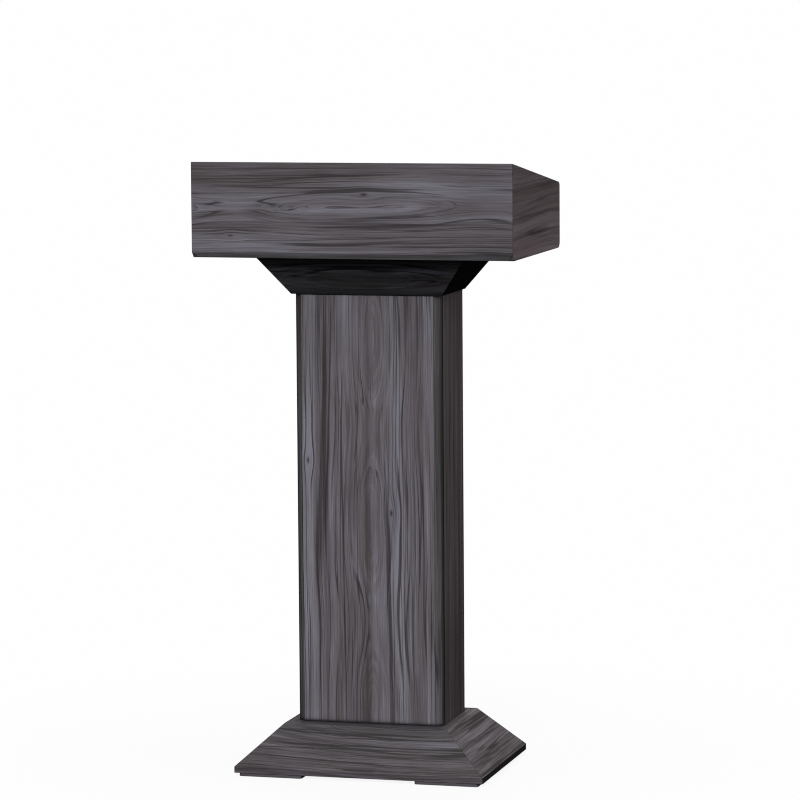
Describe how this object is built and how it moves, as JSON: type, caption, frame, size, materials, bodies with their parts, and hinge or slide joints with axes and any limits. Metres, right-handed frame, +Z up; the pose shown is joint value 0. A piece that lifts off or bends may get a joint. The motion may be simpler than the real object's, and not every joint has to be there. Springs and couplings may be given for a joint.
{
  "type": "presentation lectern",
  "caption": "Free-standing lectern: sloped-top head with a drawer, tapered neck, column with a shelf and door, sloped base on flat feet.",
  "frame": {"origin": "centre of the footprint on the floor, below the middle of the head", "axes": "+Z up, -Y towards the audience, +Y towards the speaker, +X to the audience's right"},
  "size_m": [0.6, 0.37, 1.13],
  "materials": {
    "laminate": "matt dark grey walnut-pattern laminate on board, grain drawn in the finish",
    "laminate_side": "the same laminate, a little darker and browner, with edge band",
    "laminate_neck": "the same laminate on the neck, darkest pieces",
    "board_inside": "plain grey melamine-faced board",
    "timber": "planed softwood batten",
    "steel": "zinc-plated steel",
    "dark_metal": "satin black coated metal",
    "black_plastic": "moulded black plastic"
  },
  "bodies": {
    "frame": {"head_front_board": "laminate", "desktop": "laminate", "paper_stop": "laminate", "base_front_skirt": "laminate", "base_back_skirt": "laminate", "column_front_panel": "laminate", "head_left_side": "laminate_side", "head_right_side": "laminate_side", "head_bottom_board": "laminate_side", "base_left_skirt": "laminate_side", "base_right_skirt": "laminate_side", "base_top_board": "laminate_side", "column_left_panel": "laminate_side", "column_right_panel": "laminate_side", "neck_front_panel": "laminate_neck", "neck_back_panel": "laminate_neck", "neck_left_panel": "laminate_neck", "neck_right_panel": "laminate_neck", "base_bottom_board": "board_inside", "column_top_board": "board_inside", "column_bottom_board": "board_inside", "column_shelf": "board_inside", "desktop_left_cleat": "timber", "desktop_right_cleat": "timber", "neck_left_bearer": "timber", "neck_right_bearer": "timber", "base_left_rail": "timber", "base_right_rail": "timber", "shelf_pin_left_front": "steel", "shelf_pin_left_back": "steel", "shelf_pin_right_front": "steel", "shelf_pin_right_back": "steel", "hinge_lower_frame_leaf": "steel", "hinge_lower_pin": "steel", "hinge_upper_frame_leaf": "steel", "hinge_upper_pin": "steel", "slide_left_outer": "steel", "slide_right_outer": "steel", "catch_magnet": "black_plastic", "foot_front_left": "laminate", "foot_front_right": "laminate", "foot_back_left": "laminate", "foot_back_right": "laminate"},
    "slide_middles": {"slide_left_middle": "steel", "slide_right_middle": "steel"},
    "drawer": {"drawer_front": "laminate", "drawer_pull": "dark_metal", "drawer_left_side": "board_inside", "drawer_right_side": "board_inside", "drawer_bottom": "board_inside", "drawer_back": "board_inside", "slide_left_inner": "steel", "slide_right_inner": "steel"},
    "door": {"column_door": "laminate_side", "door_knob": "steel", "catch_strike": "steel", "hinge_lower_door_leaf": "steel", "hinge_upper_door_leaf": "steel"}
  },
  "joints": [
    {"name": "drawer_slide", "type": "slide", "parent": "frame", "child": "drawer", "axis": [0, 1, 0], "range_m": [0, 0.27]},
    {"name": "slide_middle_travel", "type": "slide", "parent": "frame", "child": "slide_middles", "axis": [0, 1, 0], "range_m": [0, 0.135]},
    {"name": "door_hinge", "type": "hinge", "parent": "frame", "child": "door", "pos_m": [-0.1208, 0.0854, 0.48815], "axis": [0, 0, 1], "range_deg": [0, 165]}
  ],
  "couplings": [
    {"joint": "slide_middle_travel", "follows": "drawer_slide", "ratio": 0.5}
  ]
}
